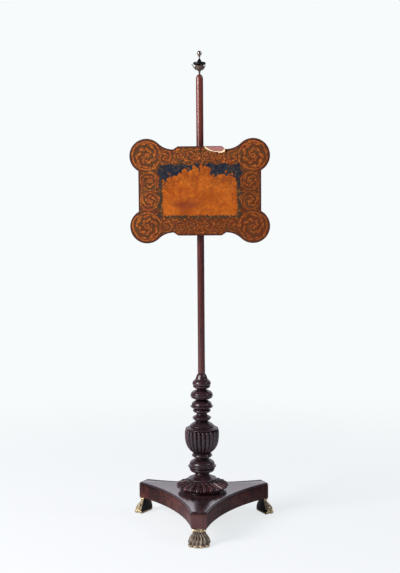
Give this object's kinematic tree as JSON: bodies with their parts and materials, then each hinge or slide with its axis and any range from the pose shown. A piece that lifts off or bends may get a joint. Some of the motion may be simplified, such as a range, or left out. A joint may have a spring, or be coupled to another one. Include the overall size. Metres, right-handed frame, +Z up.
{
  "type": "fire screen",
  "caption": "Pole screen: a shaped veneered panel slides and clamps on a turned pole that stands in a carved column on a three-sided platform with paw feet.",
  "frame": {"origin": "on the floor under the pole's axis", "axes": "+Z up along the pole; the panel's decorated front faces -Y; +X is to the right as seen from the front"},
  "size_m": [0.4382, 0.3859, 1.43],
  "materials": {
    "carcass_wood": "rough sawn",
    "rosewood_top": "polished, worn",
    "side_veneer": "polished",
    "paw_brass": "cast, tarnished in the hollows",
    "ebonised_wood": "ebonised, matt",
    "screw_steel": "dull",
    "column_wood": "dark polished",
    "wedge_wood": "plain",
    "pole_wood": "red-brown, polished",
    "finial_brass": "old, browned",
    "black_metal": "blackened",
    "ball_brass": "dull, grey-brown",
    "panel_board": "plain",
    "decorated_veneer": "varnished, drawn and stained decoration",
    "back_veneer": "polished",
    "lipping_wood": "dark",
    "strap_brass": "dull"
  },
  "bodies": {
    "stand": {"platform_core": "carcass_wood", "platform_top": "rosewood_top", "side_veneer_right": "side_veneer", "side_veneer_back": "side_veneer", "side_veneer_left": "side_veneer", "corner_veneer_front": "side_veneer", "corner_veneer_right": "side_veneer", "corner_veneer_left": "side_veneer", "paw_front": "paw_brass", "paw_right": "paw_brass", "paw_left": "paw_brass", "foot_block_front": "ebonised_wood", "foot_block_right": "ebonised_wood", "foot_block_left": "ebonised_wood", "foot_screws": "screw_steel", "collar": "column_wood", "lower_stem": "column_wood", "tenon_wedge": "wedge_wood", "urn": "column_wood", "middle_stem": "column_wood", "upper_stem": "column_wood"},
    "pole": {"pole": "pole_wood", "finial_rod": "screw_steel", "leaf_cup": "finial_brass", "drip_plate": "black_metal", "finial_cone": "black_metal", "finial_ball": "ball_brass"},
    "screen": {"panel_core": "panel_board", "front_veneer": "decorated_veneer", "back_veneer": "back_veneer", "edge_lipping": "lipping_wood", "back_strap": "strap_brass", "upper_loop": "strap_brass", "lower_loop": "strap_brass", "strap_screws": "strap_brass"},
    "pad": {"clamp_pad": "strap_brass"},
    "thumbscrew": {"thumbscrew": "strap_brass"}
  },
  "joints": [
    {"name": "pole_turn", "type": "hinge", "parent": "stand", "child": "pole", "pos_m": [0, 0, 0.464], "axis": [0, 0, 1], "continuous": true},
    {"name": "height_slide", "type": "slide", "parent": "pole", "child": "screen", "axis": [0, 0, 1], "range_m": [-0.43, 0.25]},
    {"name": "pad_travel", "type": "slide", "parent": "screen", "child": "pad", "axis": [0, 1, 0], "range_m": [0, 0.0012]},
    {"name": "thumbscrew_turn", "type": "hinge", "parent": "pad", "child": "thumbscrew", "pos_m": [0, 0.03, 1.082], "axis": [0, 1, 0], "range_deg": [0, 540]}
  ],
  "couplings": [
    {"joint": "pad_travel", "follows": "thumbscrew_turn", "m_per_rad": 0.00012732}
  ]
}
